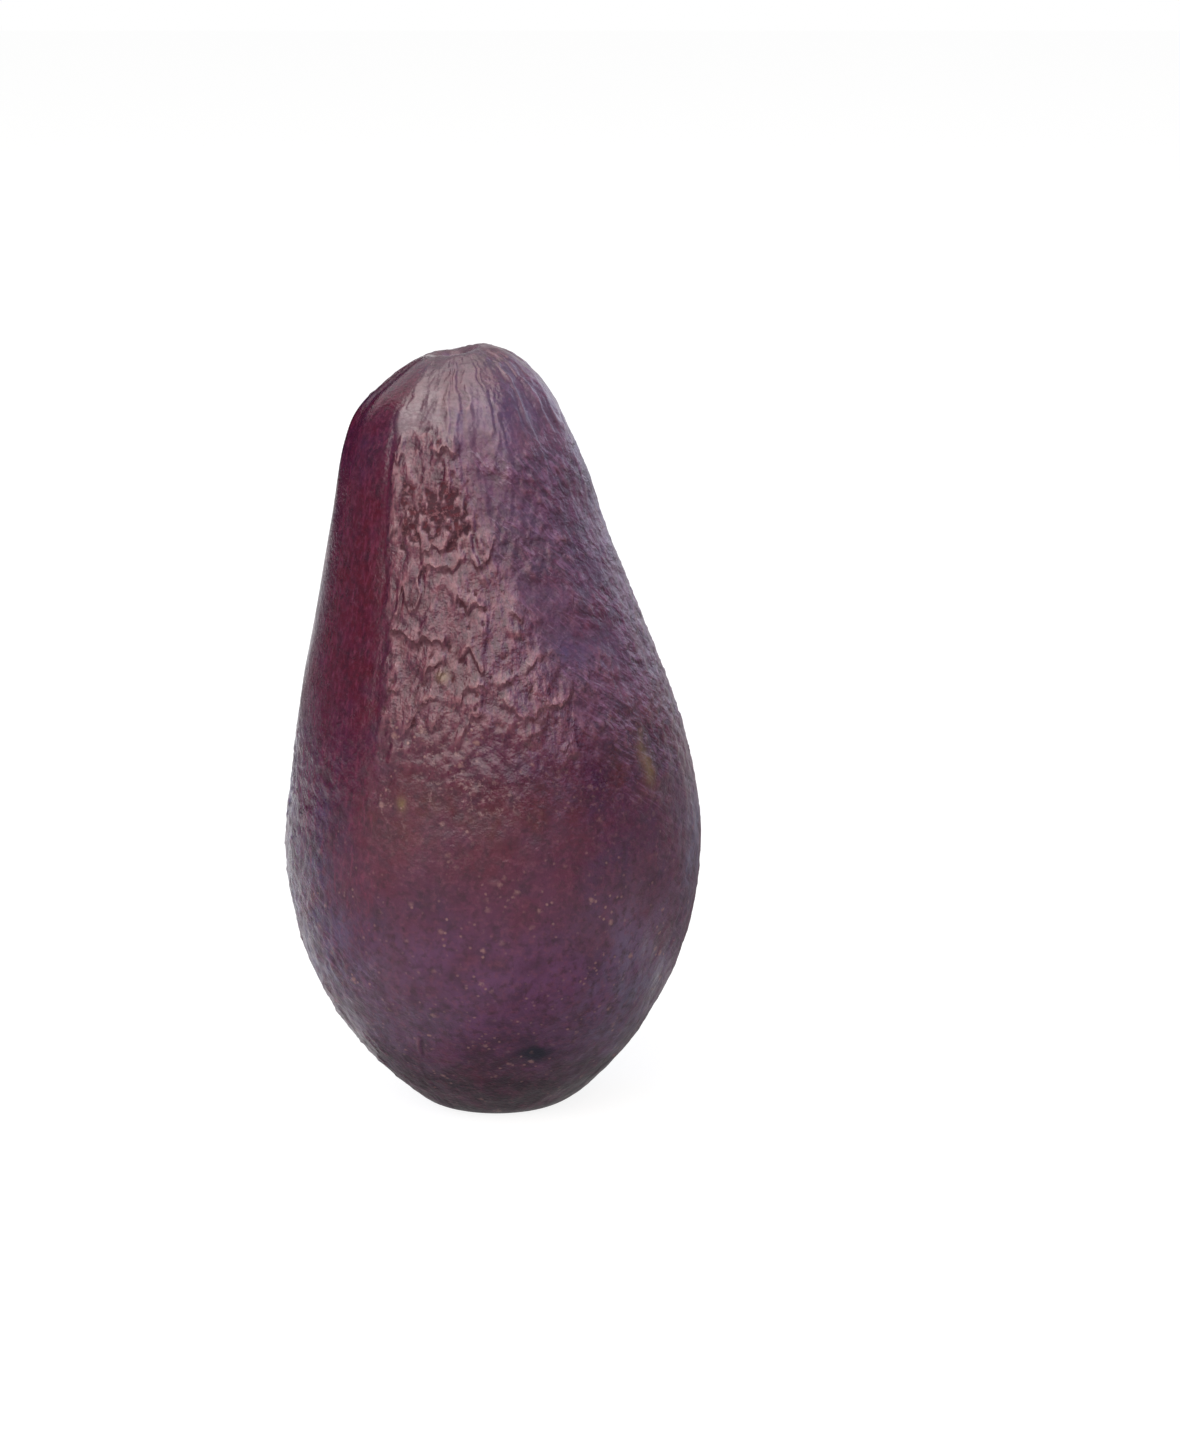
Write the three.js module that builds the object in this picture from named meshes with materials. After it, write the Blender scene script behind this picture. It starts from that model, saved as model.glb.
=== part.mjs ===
// African pear (safou): the fruit of Dacryodes edulis, one fleshy body standing on its broad end.
// Millimetres, +Z up. The origin lies on the plane it rests on, under the middle of its box;
// its broad face looks along -Y and the blunt stem end is on top, leaning to -X.
import * as THREE from 'three';
import { mergeVertices } from 'three/addons/utils/BufferGeometryUtils.js';

// Overall size.
const height = 90;
const width = 49.2;
const depthShare = 0.97;

// Side outline from the rim of the resting spot to the stem end:
// [share of the height, share of the half width].
const outline = [
  [0, 0.27],
  [0.008, 0.36],
  [0.03, 0.465],
  [0.07, 0.61],
  [0.13, 0.772],
  [0.22, 0.925],
  [0.34, 1],
  [0.45, 0.962],
  [0.56, 0.882],
  [0.67, 0.763],
  [0.78, 0.647],
  [0.88, 0.548],
  [0.94, 0.44],
  [0.978, 0.29],
  [0.997, 0.16],
  [0.994, 0.07],
  [0.988, 0],
];
const ringsPerStation = 3;
const sectors = 84;

// The neck leans to one side: reach at the stem end, and the shares of the height it grows over.
const lean = 4;
const leanFrom = 0.4;
const leanTo = 1;

// The foot stands a little the other way, up to this share of the height.
const footShift = 0.4;
const footTo = 0.2;

// The section is a soft three-sided round, which fades out towards both ends.
const threeSided = 0.012;

// The stem end slopes up to the right, by this much over a millimetre.
const crownSlope = 0.16;
const crownFrom = 0.9;

// The stalk left a slit in the stem end that runs front to back, with a pit in its middle.
const slitDepth = 1.3;
const slitHalfWidth = 1.3;
const slitHalfLength = 2.4;
const pitDepth = 0.7;
const pitRadius = 1.3;

// Shrunken folds run down the neck from the stem end: [degrees round, depth, half width in degrees].
const folds = [
  [-112, 0.55, 9],
  [-74, 0.35, 7],
  [-38, 0.5, 10],
  [8, 0.4, 8],
  [52, 0.55, 10],
  [97, 0.45, 9],
  [141, 0.5, 11],
  [-163, 0.4, 8],
];
const foldFrom = 0.76;
const foldTo = 0.93;

// Rises smoothly from 0 to 1 between two values.
const rise = (from, to, value) => THREE.MathUtils.smoothstep(value, from, to);

// A bell of height 1 that is 1/e high at one half width from its middle.
const bell = (distance, halfWidth) => Math.exp(-((distance / halfWidth) ** 2));

// Signed difference of two angles in degrees, between -180 and 180.
const turnBetween = (a, b) => ((((a - b) % 360) + 540) % 360) - 180;

// The plain body: the outline turned round the axis, from the centre of the resting spot up.
function bodyOfRevolution() {
  const stations = outline.map(([up, out]) => new THREE.Vector2((out * width) / 2, up * height));
  const skin = new THREE.SplineCurve(stations).getPoints((outline.length - 1) * ringsPerStation);
  skin[skin.length - 1].x = 0;
  const body = new THREE.LatheGeometry([new THREE.Vector2(0, 0), ...skin], sectors);
  body.rotateX(Math.PI / 2);
  body.deleteAttribute('normal');
  body.deleteAttribute('uv');
  return mergeVertices(body);
}

// How far the folds draw the skin in at one place of the neck.
function foldDepth(degrees, up) {
  const along = rise(foldFrom, foldTo, up) * (1 - 0.6 * rise(foldTo, 1, up));
  let depth = 0;
  for (const [middle, deep, halfWidth] of folds) {
    depth += deep * bell(turnBetween(degrees, middle), halfWidth);
  }
  return depth * along;
}

// Moves a point of the plain body to its place on the fruit.
function grow(point) {
  const up = point.z / height;
  const round = Math.hypot(point.x, point.y);
  const turn = Math.atan2(point.y, point.x);
  const belly = rise(0.05, 0.3, up) * (1 - rise(0.6, 0.9, up));
  const section = 1 + threeSided * belly * Math.sin(3 * turn);
  const drawn = foldDepth(THREE.MathUtils.radToDeg(turn), up) * rise(1, 4, round);
  const radius = Math.max(round * section - drawn, 0);
  point.x = radius * Math.cos(turn);
  point.y = radius * Math.sin(turn) * depthShare;
  const crown = rise(crownFrom, 1, up);
  const slit = slitDepth * bell(point.x, slitHalfWidth) * bell(point.y, slitHalfLength);
  const pit = pitDepth * bell(round, pitRadius);
  point.z += crown * (crownSlope * point.x - slit - pit);
  point.x += footShift * (1 - rise(0, footTo, up)) - lean * rise(leanFrom, leanTo, up);
}

function pearFruit() {
  const geometry = bodyOfRevolution();
  const places = geometry.attributes.position;
  const point = new THREE.Vector3();
  for (let i = 0; i < places.count; i += 1) {
    point.fromBufferAttribute(places, i);
    grow(point);
    places.setXYZ(i, point.x, point.y, point.z);
  }
  geometry.computeBoundingBox();
  const middle = geometry.boundingBox.getCenter(new THREE.Vector3());
  geometry.translate(-middle.x, -middle.y, 0);
  geometry.computeVertexNormals();
  const skin = new THREE.MeshStandardMaterial({ color: '#552a39', roughness: 0.42, metalness: 0 });
  const fruit = new THREE.Mesh(geometry, skin);
  fruit.name = 'pear_fruit';
  return fruit;
}

const africanPear = new THREE.Group();
africanPear.add(pearFruit());

export default africanPear;
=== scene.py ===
import math

import bpy
import numpy as np
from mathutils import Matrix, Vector


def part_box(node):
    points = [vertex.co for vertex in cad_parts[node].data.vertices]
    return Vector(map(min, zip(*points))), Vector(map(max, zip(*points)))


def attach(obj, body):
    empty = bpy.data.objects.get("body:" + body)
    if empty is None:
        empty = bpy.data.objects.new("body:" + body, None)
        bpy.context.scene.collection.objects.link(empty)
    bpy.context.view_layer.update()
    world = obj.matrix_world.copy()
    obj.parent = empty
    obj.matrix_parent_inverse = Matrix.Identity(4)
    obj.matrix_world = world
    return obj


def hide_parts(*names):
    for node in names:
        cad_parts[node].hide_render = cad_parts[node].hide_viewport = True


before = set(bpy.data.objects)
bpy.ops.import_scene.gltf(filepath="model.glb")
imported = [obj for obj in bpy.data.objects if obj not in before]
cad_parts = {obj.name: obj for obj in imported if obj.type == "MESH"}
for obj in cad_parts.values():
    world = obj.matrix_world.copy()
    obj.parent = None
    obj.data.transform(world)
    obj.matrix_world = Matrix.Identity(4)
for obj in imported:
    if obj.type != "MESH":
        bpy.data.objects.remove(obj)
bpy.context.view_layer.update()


def rise(low, high, value):
    # smooth step: 3t^2 - 2t^3, with t the clipped share of the way from low to high
    t = np.clip((value - low) / (high - low), 0, 1)
    return t * t * (3 - 2 * t)


def bell(distance, halfWidth):
    # exp(-(d/w)^2): 1 in the middle, 1/e at one half width
    return np.exp(-((distance / halfWidth) ** 2))


def turnBetween(a, b):
    # signed difference of two angles in degrees, from -180 to 180
    return (a - b + 180) % 360 - 180


def unitLength(vectors):
    # each vector over its own length
    return vectors / np.maximum(np.linalg.norm(vectors, axis=-1, keepdims=True), 1e-9)


def latticeHash(cell, seed):
    # mixes the three whole numbers of a lattice cell and a seed into one of 4096 slots
    mixed = cell[..., 0] * 73856093 ^ cell[..., 1] * 19349663 ^ cell[..., 2] * 83492791
    mixed = (mixed ^ seed * 2654435761) & 0x7FFFFFFF
    mixed = (mixed ^ (mixed >> 13)) * 1274126177 & 0x7FFFFFFF
    return (mixed ^ (mixed >> 16)) & 4095


slotGradients = unitLength(np.random.default_rng(7).normal(size=(4096, 3)))


def softNoise(points, size, seed):
    # gradient noise: at each lattice corner a random direction dotted with the way from that corner,
    # blended across the cell by 6t^5 - 15t^4 + 10t^3; runs from about -1 to 1
    scaled = points / size
    cell = np.floor(scaled).astype(np.int64)
    inside = scaled - cell
    blend = inside**3 * (inside * (inside * 6 - 15) + 10)
    total = 0
    for dx in (0, 1):
        for dy in (0, 1):
            for dz in (0, 1):
                corner = np.array([dx, dy, dz])
                gradient = slotGradients[latticeHash(cell + corner, seed)]
                share = np.prod(np.where(corner == 1, blend, 1 - blend), axis=-1)
                total = total + share * np.sum(gradient * (inside - corner), axis=-1)
    return total * 1.6


def layeredNoise(points, size, seed, layers=3, fade=0.5):
    # softNoise added to itself at half the size and a share of the height, layer by layer
    total = 0
    for layer in range(layers):
        total = total + softNoise(points, size / 2**layer, seed + layer) * fade**layer
    return total


def ridgedNoise(points, size, seed):
    # 1 - 2|noise|: thin crests where the noise passes through zero
    return 1 - 2 * np.abs(softNoise(points, size, seed))


def bentBy(points, size, amount, seed):
    # the points moved by noise of that size, a different one along each axis
    return points + amount * np.stack([softNoise(points, size, seed + k) for k in range(3)], axis=-1)


form = {  # millimetres, and shares of the height
    "height": 90,
    "width": 49.2,
    "depthShare": 0.97,  # front to back, as a share of the width
    "outline": [  # share of the height, share of the half width
        (0, 0.27),
        (0.008, 0.36),
        (0.03, 0.465),
        (0.07, 0.61),
        (0.13, 0.772),
        (0.22, 0.925),
        (0.34, 1),
        (0.45, 0.962),
        (0.56, 0.882),
        (0.67, 0.763),
        (0.78, 0.647),
        (0.88, 0.548),
        (0.94, 0.44),
        (0.978, 0.29),
        (0.997, 0.16),
        (0.994, 0.07),
        (0.988, 0),
    ],
    "lean": 4,  # the stem end leans to the left
    "leanFrom": 0.4,
    "leanTo": 1,
    "footShift": 0.4,
    "footTo": 0.2,
    "threeSided": 0.012,
    "crownSlope": 0.16,
    "crownFrom": 0.9,
    "slitDepth": 1.3,
    "slitHalfWidth": 1.3,
    "slitHalfLength": 2.4,
    "pitDepth": 0.7,
    "pitRadius": 1.3,
    "folds": [  # degrees round, depth, half width in degrees
        (-112, 0.55, 9),
        (-74, 0.35, 7),
        (-38, 0.5, 10),
        (8, 0.4, 8),
        (52, 0.55, 10),
        (97, 0.45, 9),
        (141, 0.5, 11),
        (-163, 0.4, 8),
    ],
    "foldFrom": 0.76,
    "foldTo": 0.93,
    "columns": 368,
    "rows": 258,
    "flatRows": 7,  # rows of the resting spot
    "closerOnTop": 1.7,  # how much closer the rows lie on the neck than on the belly
    "closerInFront": 2,  # and the columns in front than behind
    "frontAt": -92,  # degrees round
    "frontWide": 65,
}


def throughStations(stations, samplesEach):
    # Catmull-Rom: a cubic between each two stations, whose slope at a station is half the step
    # between its two neighbours
    s = np.array([stations[0], *stations, stations[-1]], float)
    t = np.linspace(0, 1, samplesEach, endpoint=False)[:, None]
    parts = []
    for before, here, there, after in zip(s, s[1:], s[2:], s[3:]):
        slopeHere, slopeThere = (there - before) / 2, (after - here) / 2
        cubic = 2 * here - 2 * there + slopeHere + slopeThere
        square = -3 * here + 3 * there - 2 * slopeHere - slopeThere
        parts.append(cubic * t**3 + square * t**2 + slopeHere * t + here)
    return np.vstack([*parts, s[-1:]])


def profileRows():
    # the outline from the centre of the resting spot to the stem end, cut into rows whose spacing
    # shrinks smoothly from the belly to the neck; gives each row's share of the height, its radius
    # and its distance along the skin
    curve = throughStations(form["outline"], 200)
    up = curve[:, 0] * form["height"]
    out = np.maximum(curve[:, 1] * form["width"] / 2, 0)
    along = np.concatenate([[0], np.cumsum(np.hypot(np.diff(up), np.diff(out)))])
    density = 1 + (form["closerOnTop"] - 1) * rise(0.3, 0.6, up / form["height"])
    counted = np.concatenate([[0], np.cumsum(np.diff(along) * (density[1:] + density[:-1]) / 2)])
    wanted = np.linspace(0, counted[-1], form["rows"] - form["flatRows"])
    where = np.interp(wanted, counted, along)
    flatOut = np.linspace(0, out[0], form["flatRows"], endpoint=False)
    rowOut = np.concatenate([flatOut, np.interp(where, along, out)])
    rowUp = np.concatenate([flatOut * 0, np.interp(where, along, up)]) / form["height"]
    rowAlong = np.concatenate([flatOut, where + out[0]])
    return rowUp, rowOut, rowAlong


def columnTurns():
    # the turn of each column, closer together in front: equal steps of the summed density
    turn = np.linspace(-math.pi, math.pi, 3601)
    near = bell(turnBetween(np.degrees(turn), form["frontAt"]), form["frontWide"])
    density = 1 + (form["closerInFront"] - 1) * near
    counted = np.concatenate([[0], np.cumsum((density[1:] + density[:-1]) / 2)])
    wanted = np.arange(form["columns"]) / form["columns"] * counted[-1]
    return np.interp(wanted, counted, turn)


def smoothFruit(up, radius, turn):
    # the outline turned round the axis, then drawn in by the folds, leaned to one side at the neck
    # and sunk along the slit, as the solid is
    degrees = np.degrees(turn)
    belly = rise(0.05, 0.3, up) * (1 - rise(0.6, 0.9, up))
    along = rise(form["foldFrom"], form["foldTo"], up) * (1 - 0.6 * rise(form["foldTo"], 1, up))
    drawn = sum(deep * bell(turnBetween(degrees, at), wide) for at, deep, wide in form["folds"])
    r = radius * (1 + form["threeSided"] * belly * np.sin(3 * turn))
    r = np.maximum(r - drawn * along * rise(1, 4, radius), 0)
    x = r * np.cos(turn)
    y = r * np.sin(turn) * form["depthShare"]
    slit = form["slitDepth"] * bell(x, form["slitHalfWidth"]) * bell(y, form["slitHalfLength"])
    pit = form["pitDepth"] * bell(radius, form["pitRadius"])
    crown = rise(form["crownFrom"], 1, up)
    z = up * form["height"] + crown * (form["crownSlope"] * x - slit - pit)
    x = x + form["footShift"] * (1 - rise(0, form["footTo"], up))
    x = x - form["lean"] * rise(form["leanFrom"], form["leanTo"], up)
    return np.stack([x, y, z], axis=-1)


def outwardNormals(points):
    # cross product of the steps round and along the grid; the poles take their ring's mean
    roundStep = np.roll(points, -1, axis=1) - np.roll(points, 1, axis=1)
    normals = unitLength(np.cross(roundStep, np.gradient(points, axis=0)))
    normals[0] = unitLength(normals[1].mean(axis=0))
    normals[-1] = unitLength(normals[-2].mean(axis=0))
    return normals


relief = {  # millimetres; a foot or a top gives the two shares of the height between which it fades
    "swellSize": 15,  # slow swells of the flesh under the skin
    "swellDepth": 0.28,
    "lumpSize": 4.5,
    "lumpDepth": 0.13,
    "fluteCount": 24,  # fine creases that run together at the stem end
    "fluteDepth": 0.048,
    "flutesFoot": (0.86, 0.97),
    "strips": [  # dry strips there, from and to in degrees round, and how high they stand
        (-122, -99, 0.12),
        (-96.5, -94.5, 0.12),
        (-92, -88, 0.12),
        (-82, -69, 0.18),
        (-67, -65, 0.12),
        (-46, -42.5, 0.16),
        (-33, -29, 0.12),
        (-22, -10, 0.16),
        (10, 32, 0.2),
        (47, 52, 0.14),
        (70, 94, 0.2),
        (112, 117, 0.14),
        (136, 166, 0.18),
    ],
    "stripsFoot": (0.87, 0.92),
    "stripsTop": (0.975, 1),
    "bandLeft": -122,  # degrees: the dry skin in front starts here, at a straight border
    "bandRight": -84,  # and ends here at bandTop, further right below it
    "bandTop": 0.85,
    "bandSpread": 94,  # degrees for the whole height
    "sleekEnd": (-90, -60),  # degrees left of the border where the smooth side fades out
    "sleekFoot": (0.2, 0.34),
    "flakesFoot": (0.485, 0.58),
    "flakesTop": (0.9, 0.935),
    "blotches": (-42, 26),  # a few flakes right of the band too: degrees round, half width
    "flakeFrom": 56,  # how far along the skin the flakes are as long as given here
    "flakeLength": 2.5,
    "flakeGrowth": 0.05,  # how much longer for each millimetre further
    "flakeSlant": 0.35,  # how much their lower edges rise to the right
    "flakeRing": 12,  # above this radius their width stays the same in millimetres
    "flakeStep": 0.26,  # how thick a flake is at its lower edge
    "flakeDrop": 0.6,  # how wide the drop below the edge is
    "lobeWidth": 1.6,
    "lobeDepth": 1.5,
    "lobeStretch": 0.3,
    "curlHeight": 0.03,  # lower edges curl up
    "curlWidth": 0.4,
    "torn": (-6.2, 4.9, 77.2, 69.6, 2.2),  # most skin is gone: x, half width, top, foot, its teeth
    "toothWidth": 1.3,
    "islandSize": 0.9,  # what is left of it
    "skinDepth": 0.2,
    "fleshDepth": 0.12,  # crumbs on the bare flesh
    "crackSize": 2.6,  # cracks across the dry skin
    "crackSlant": 0.8,
    "crackTop": (0.72, 0.8),
    "crackDepth": 0.07,
    "crumpleSize": 2.6,
    "crumpleDepth": 0.09,
    "fibreSize": 0.8,
    "fibreDepth": 0.06,
    "fibresFoot": (0.44, 0.56),
    "flankFoot": (0.4, 0.54),
    "belly": (-85, 40),  # the leathery look is weakest low in front: degrees round, half width
    "rim": (-168, 28),  # and reaches lower on the far left
    "rimTop": (0.42, 0.56),
    "streakWidth": 1.6,  # leathery streaks along the flanks
    "streakStretch": 1.3,
    "streakTwist": 0.055,  # radians round for each millimetre up
    "streakDepth": 0.06,
    "pebbleSize": 1.1,
    "pebbleDepth": 0.05,
    "pebblesTop": (0.4, 0.7),
    "flankPebbles": 0.12,
    "crumbSize": 0.95,  # crumbled skin at the lower end of the flakes
    "crumbDepth": 0.13,
    "crumbsFoot": (0.36, 0.46),
    "crumbsTop": (0.54, 0.62),
    "crumbsAt": (-106, 30),
    "creases": [  # from x, z to x, z on the front, half width, depth
        (-2.6, 72.3, 0.3, 65.2, 0.26, 0.22),
        (-8.4, 82.2, -6.3, 81.9, 0.24, 0.2),
        (-1.5, 33.2, 1.6, 32.8, 0.3, 0.14),
        (-8, 12.4, -7.9, 9.6, 0.25, 0.14),
    ],
    "cavityReach": 3,  # grid steps; what stands over the mean round it takes a paler colour, and what lies under it a painted shade
    "cavityDepth": 0.12,
    "sunk": 0.12,  # how far the mean skin lies inside the solid, so that its crests don't stand out
    "middleWay": 60,  # way along the skin where slants and twists are zero
    "seed": 11,
}


def creaseAcross(points, crease):
    # a groove along a straight line on the front: a bell of the distance to the line, with a low lip
    # on its one side
    x0, z0, x1, z1, wide, deep = crease
    way = np.array([x1 - x0, z1 - z0])
    length = np.linalg.norm(way)
    fromStart = points[..., [0, 2]] - [x0, z0]
    share = fromStart @ way / length**2
    across = (fromStart[..., 0] * way[1] - fromStart[..., 1] * way[0]) / length
    across = across + 0.5 * softNoise(points, 2.2, 5)
    ends = rise(-0.12, 0.15, share) * (1 - rise(0.85, 1.12, share)) * (points[..., 1] < 0)
    return deep * ends * (bell(across - 1.5 * wide, wide) - bell(across, wide))


def blurred(grid, reach):
    # the mean over a square of neighbours, closed round the fruit
    count = 2 * reach + 1
    total = sum(np.roll(grid, step, axis=1) for step in range(-reach, reach + 1)) / count
    padded = np.pad(total, ((reach, reach), (0, 0)), mode="edge")
    return sum(padded[step : step + len(grid)] for step in range(count)) / count


def stemFlutes(place, degrees, up, seed):
    # ridged noise read on a circle that doesn't shrink with the neck, so its crests run together
    ring = relief["fluteCount"] / (2 * math.pi)
    turn = np.radians(degrees) + 0.08 * softNoise(place, 6, seed)
    onRing = np.stack([ring * np.cos(turn), ring * np.sin(turn), place[..., 2] / 8], axis=-1)
    flutes = 0.6 * ridgedNoise(onRing, 1, seed + 1) + 0.4 * ridgedNoise(onRing * [2, 2, 1.6], 1, seed + 2)
    cover = rise(*relief["flutesFoot"], up + 0.06 * softNoise(place, 7, seed + 3))
    return flutes, cover * (0.3 + 0.7 * rise(-0.3, 0.3, softNoise(onRing, 6, seed + 4)))


def slopeOf(grid, points):
    # how fast a grid of values changes along the skin, per millimetre: the root of the summed squares of
    # its change over one step round and one step along, each over the length of that step, where the
    # change round counts less, so that what hangs has its widest edges below
    slope = 0
    for weight, change, run in (
        (0.4, np.roll(grid, -1, 1) - np.roll(grid, 1, 1), np.roll(points, -1, 1) - np.roll(points, 1, 1)),
        (1, np.gradient(grid, axis=0), np.gradient(points, axis=0)),
    ):
        slope = slope + (weight * change / np.maximum(np.linalg.norm(run, axis=-1), 0.02)) ** 2
    return np.sqrt(slope)


def hangingFlakes(place, degrees, radius, seed):
    # dry skin torn into flakes that hang from the stem end and lie over each other like shingles: the
    # way along the skin, log(1 + growth * way) / growth, is added to lobes that keep their width, and a
    # lower edge runs wherever the sum passes a whole number
    growth = relief["flakeGrowth"]
    way = place[..., 2] - relief["flakeSlant"] * place[..., 0] - relief["flakeFrom"]
    way = np.log(np.maximum(1 + growth * way, 0.4)) / growth
    ring = np.maximum(radius, relief["flakeRing"])
    turn = np.radians(degrees)
    lobePlace = np.stack([ring * np.cos(turn), ring * np.sin(turn), relief["lobeStretch"] * way], axis=-1)
    lobePlace = bentBy(lobePlace, 2.6, 0.7, seed)
    lobes = 0.8 * ridgedNoise(lobePlace, relief["lobeWidth"] * 1.3, seed + 3)
    lobes = lobes + 0.4 * layeredNoise(lobePlace, relief["lobeWidth"], seed + 4, 2, 0.6)
    drift = softNoise(place, 6, seed + 6) * 1.6
    return (way + relief["lobeDepth"] * lobes + drift) / relief["flakeLength"]


def dryStrips(place, degrees, up, seed):
    # each strip is a smooth step up at its left side and down at its right, both moved by noise
    lined = degrees + 4 * layeredNoise(place * [1, 1, 0.35], 2.6, seed, 3, 0.6)
    strips = 0
    for left, right, high in relief["strips"]:
        strips = strips + high * rise(-1.3, 1.3, lined - left) * (1 - rise(-1.3, 1.3, lined - right))
    strips = strips * rise(*relief["stripsFoot"], up + 0.03 * softNoise(place, 3, seed + 2))
    return strips * (1 - rise(*relief["stripsTop"], up))


def tornPlace(points, place, seed):
    # a bell of x on the front, cut off above by a row of teeth from ridged noise and faded out below
    x, halfWidth, top, foot, toothLength = relief["torn"]
    teeth = ridgedNoise(place * [1, 1, 0.2], relief["toothWidth"], seed)
    torn = rise(-0.15, 0.25, top - toothLength * teeth - points[..., 2])
    torn = torn * rise(-1.5, 1.5, points[..., 2] - foot + 1.5 * softNoise(place, 2, seed + 1))
    return torn * rise(0, 0.35, bell(points[..., 0] - x, halfWidth) - 0.35) * (points[..., 1] < 0)


def crackedSkin(place, up, scaled, seed):
    # crests of ridged noise, read at places that are bent and pushed aside the higher they are
    slanted = bentBy(place, 1.4, 0.5, seed)
    slanted[..., 0] -= relief["crackSlant"] * (slanted[..., 2] - relief["middleWay"])
    cracks = rise(0.45, 0.95, ridgedNoise(slanted * [1, 1, 0.45], relief["crackSize"], seed + 3))
    cracks = cracks * rise(0, 0.4, softNoise(place, 4, seed + 4)) * scaled
    return cracks * (1 - rise(*relief["crackTop"], up))


def windingStreaks(place, along, seed):
    # ridged noise in two sizes, read at places turned about the axis, the further up the more
    twist = relief["streakTwist"] * (along - relief["middleWay"])
    twisted = np.stack(
        [
            place[..., 0] * np.cos(twist) - place[..., 1] * np.sin(twist),
            place[..., 0] * np.sin(twist) + place[..., 1] * np.cos(twist),
            along / relief["streakStretch"],
        ],
        axis=-1,
    )
    twisted = bentBy(twisted, 2, 0.7, seed + 3)
    streaks = ridgedNoise(twisted, relief["streakWidth"], seed)
    return streaks + 0.6 * ridgedNoise(twisted, relief["streakWidth"] / 2, seed + 1), twist


def skinRelief(points, degrees, up, along, radius):
    # the height of the skin over the smooth fruit: a sum of patterns, each times its depth and times a
    # mask from 0 to 1 for where it is; most masks also place the colours
    seed = relief["seed"]
    place = np.stack([points[..., 0], points[..., 1], along], axis=-1)
    inFront = points[..., 1] < 0
    edge = up + 0.03 * layeredNoise(place, 6, seed + 31, 2)

    def turnBell(name):
        at, wide = relief[name]
        return bell(turnBetween(degrees, at), wide)

    # in front the smooth left side, then a straight border and the band of dry skin; patches behind
    ragged = degrees + 2.2 * layeredNoise(place * [1, 1, 0.4], 2.4, seed + 1, 2)
    past = turnBetween(ragged, relief["bandLeft"])
    onLeft = rise(*relief["sleekEnd"], past)
    sleek = (1 - rise(-2, 1.5, past)) * onLeft * rise(*relief["sleekFoot"], up)
    calm = (1 - rise(-16, 8, past)) * onLeft
    bandRight = relief["bandRight"] + relief["bandSpread"] * (relief["bandTop"] - up)
    dryBand = rise(-2, 1.5, ragged - relief["bandLeft"]) * (1 - rise(-8, 6, ragged - bandRight))
    patches = rise(-0.25, 0.35, softNoise(place, 12, seed + 30)) * (1 - inFront)
    blotched = 0.35 * rise(0, 0.4, softNoise(place, 6, seed + 32)) * turnBell("blotches")
    scaled = rise(*relief["flakesFoot"], edge) * (1 - rise(*relief["flakesTop"], edge))
    scaled = scaled * np.clip(dryBand + 0.8 * patches + blotched, 0, 1) * (1 - 0.97 * sleek)

    # slow forms, and the dry strips and flutes of the stem end
    swells = softNoise(place, relief["swellSize"], seed) * (1 - 0.7 * calm)
    lumps = layeredNoise(place * [1, 1, 0.6], relief["lumpSize"], seed + 10, 2) * (1 - 0.8 * calm)
    strips = dryStrips(place, degrees, up, seed + 26)
    flutes, fluted = stemFlutes(place, degrees, up, seed + 20)
    fluted = fluted * (1 - 0.6 * calm) * (1 - 3 * strips) * (1 - 0.6 * bell(past - 12, 20))

    # flakes: the height grows towards the lower edge and drops below it; flesh shows in the torn place
    # and in gaps under the edges, except on small islands
    torn = tornPlace(points, place, seed + 55)
    steps = hangingFlakes(place, degrees, radius, seed + 40)
    slope = np.clip(slopeOf(steps, points), 0.08, 3)
    phase = steps % 1
    above, under = phase / slope, (1 - phase) / slope
    fall = rise(0, relief["flakeDrop"], under)
    hold = rise(-0.35, 0.15, softNoise(place * [1, 1, 0.7], 2.8, seed + 47) + 0.3 * torn) * scaled
    hold = hold * (1 - 0.7 * rise(0.89, 0.93, up))
    flakes = (1 - phase) * fall + 1 - fall
    curl = np.maximum(bell(above, relief["curlWidth"]), 1 - fall)
    islands = layeredNoise(place * [1, 1, 0.6], relief["islandSize"], seed + 50, 2, 0.7)
    gap = 0.55 * bell(under, 0.9) * hold * rise(-0.2, 0.4, softNoise(place, 3, seed + 48))
    cover = rise(-0.45, 0.5, 1.3 * islands + 0.85 - torn - gap)
    cover = 1 - (1 - cover) * scaled
    cracks = crackedSkin(place, up, scaled, seed + 70)
    crumple = layeredNoise(place * [1, 1, 0.6], relief["crumpleSize"], seed + 78, 2, 0.6)
    crumple = crumple * scaled * (1 - 0.6 * rise(0.82, 0.9, up))

    # the leathery flanks, and the grain of all the skin
    streaks, twist = windingStreaks(place, along, seed + 51)
    low = 0.5 - 0.35 * turnBell("belly")
    flank = (1 - 0.85 * dryBand) * (low + (1 - low) * rise(*relief["flankFoot"], up))
    flank = flank * (1 - 0.95 * sleek) * (1 - 0.5 * rise(0.85, 0.93, up))
    rim = turnBell("rim") * (1 - rise(*relief["rimTop"], up)) * rise(0.02, 0.1, up)
    dull = np.clip(flank, 0, 1)
    flank = np.clip(flank + 0.9 * rim, 0, 1) * (0.5 + 0.5 * rise(-0.3, 0.2, softNoise(place, 5, seed + 53)))
    fibres = layeredNoise(place * [1, 1, 0.3], relief["fibreSize"], seed + 76, 2, 0.6) * (1 - sleek)
    crumbs = layeredNoise(place * [1, 1, 0.7], relief["crumbSize"], seed + 60, 2, 0.7)
    crumbled = rise(*relief["crumbsFoot"], edge) * (1 - rise(*relief["crumbsTop"], edge))
    crumbled = crumbled * (1 - 0.9 * sleek) * (0.25 + 0.75 * turnBell("crumbsAt"))
    pebbles = layeredNoise(place, relief["pebbleSize"], seed + 65, 2, 0.7)

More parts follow.
